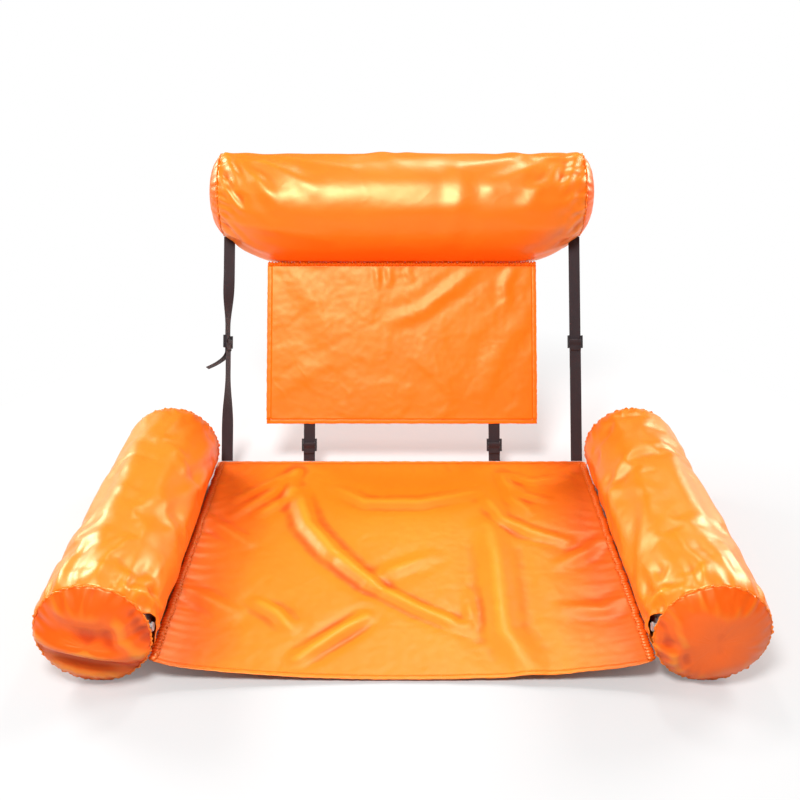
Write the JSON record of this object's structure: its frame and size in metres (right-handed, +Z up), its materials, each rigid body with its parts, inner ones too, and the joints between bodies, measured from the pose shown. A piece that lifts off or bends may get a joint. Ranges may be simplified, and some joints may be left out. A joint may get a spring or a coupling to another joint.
{
  "type": "inflatable pool chair",
  "caption": "Floating pool chair: cloth seat hung between inflated arm rolls, and a strapped cloth backrest that carries an inflated head roll.",
  "frame": {"origin": "bottom centre of the whole chair's box, on the floor", "axes": "+X across the chair, +Y from the seat's front edge towards the backrest, +Z up"},
  "size_m": [1.1788, 1.0728, 0.6666],
  "materials": {
    "orange_cloth": "satin",
    "webbing": "matte",
    "slider_plastic": "satin",
    "bladder_vinyl": "gloss",
    "valve_plastic": "gloss"
  },
  "bodies": {
    "seat": {"seat_sheet": "orange_cloth", "seat_front_hem": "orange_cloth", "seat_rear_hem": "orange_cloth", "left_arm_seam": "orange_cloth", "right_arm_seam": "orange_cloth"},
    "left_arm": {"left_arm_sleeve": "orange_cloth", "left_arm_front_end": "orange_cloth", "left_arm_rear_end": "orange_cloth", "left_arm_bladder": "bladder_vinyl", "left_arm_valve": "valve_plastic"},
    "right_arm": {"right_arm_sleeve": "orange_cloth", "right_arm_front_end": "orange_cloth", "right_arm_rear_end": "orange_cloth", "right_arm_bladder": "bladder_vinyl", "right_arm_valve": "valve_plastic"},
    "strap_set": {"outer_left_lower_strap": "webbing", "outer_left_slider": "slider_plastic", "outer_right_lower_strap": "webbing", "outer_right_slider": "slider_plastic", "inner_left_lower_strap": "webbing", "inner_left_slider": "slider_plastic", "inner_right_lower_strap": "webbing", "inner_right_slider": "slider_plastic"},
    "backrest": {"back_panel": "orange_cloth", "panel_bottom_hem": "orange_cloth", "panel_left_hem": "orange_cloth", "panel_right_hem": "orange_cloth", "head_seam": "orange_cloth", "head_sleeve": "orange_cloth", "head_left_end": "orange_cloth", "head_right_end": "orange_cloth", "head_bladder": "bladder_vinyl", "head_valve": "valve_plastic", "outer_left_upper_strap": "webbing", "outer_right_upper_strap": "webbing", "inner_left_upper_strap": "webbing", "inner_right_upper_strap": "webbing"},
    "left_arm_valve_plug": {"left_arm_plug": "valve_plastic"},
    "right_arm_valve_plug": {"right_arm_plug": "valve_plastic"},
    "head_valve_plug": {"head_plug": "valve_plastic"}
  },
  "joints": [
    {"name": "left_arm_fold", "type": "hinge", "parent": "seat", "child": "left_arm", "pos_m": [-0.40385, -0.20012, 0.04237], "axis": [0, 1, 0], "range_deg": [0, 50]},
    {"name": "right_arm_fold", "type": "hinge", "parent": "seat", "child": "right_arm", "pos_m": [0.40385, -0.20012, 0.04237], "axis": [0, -1, 0], "range_deg": [0, 50]},
    {"name": "backrest_recline", "type": "hinge", "parent": "seat", "child": "strap_set", "pos_m": [0, 0.13488, 0.04237], "axis": [-1, 0, 0], "range_deg": [-35, 45]},
    {"name": "strap_adjust", "type": "slide", "parent": "strap_set", "child": "backrest", "axis": [0, 0.4848, 0.8746], "range_m": [-0.01, 0.006]},
    {"name": "left_arm_valve_pull", "type": "slide", "parent": "left_arm", "child": "left_arm_valve_plug", "axis": [1, 0, 0], "range_m": [0, 0.01]},
    {"name": "right_arm_valve_pull", "type": "slide", "parent": "right_arm", "child": "right_arm_valve_plug", "axis": [-1, 0, 0], "range_m": [0, 0.01]},
    {"name": "head_valve_pull", "type": "slide", "parent": "backrest", "child": "head_valve_plug", "axis": [0, 0.8746, -0.4848], "range_m": [0, 0.01]}
  ]
}
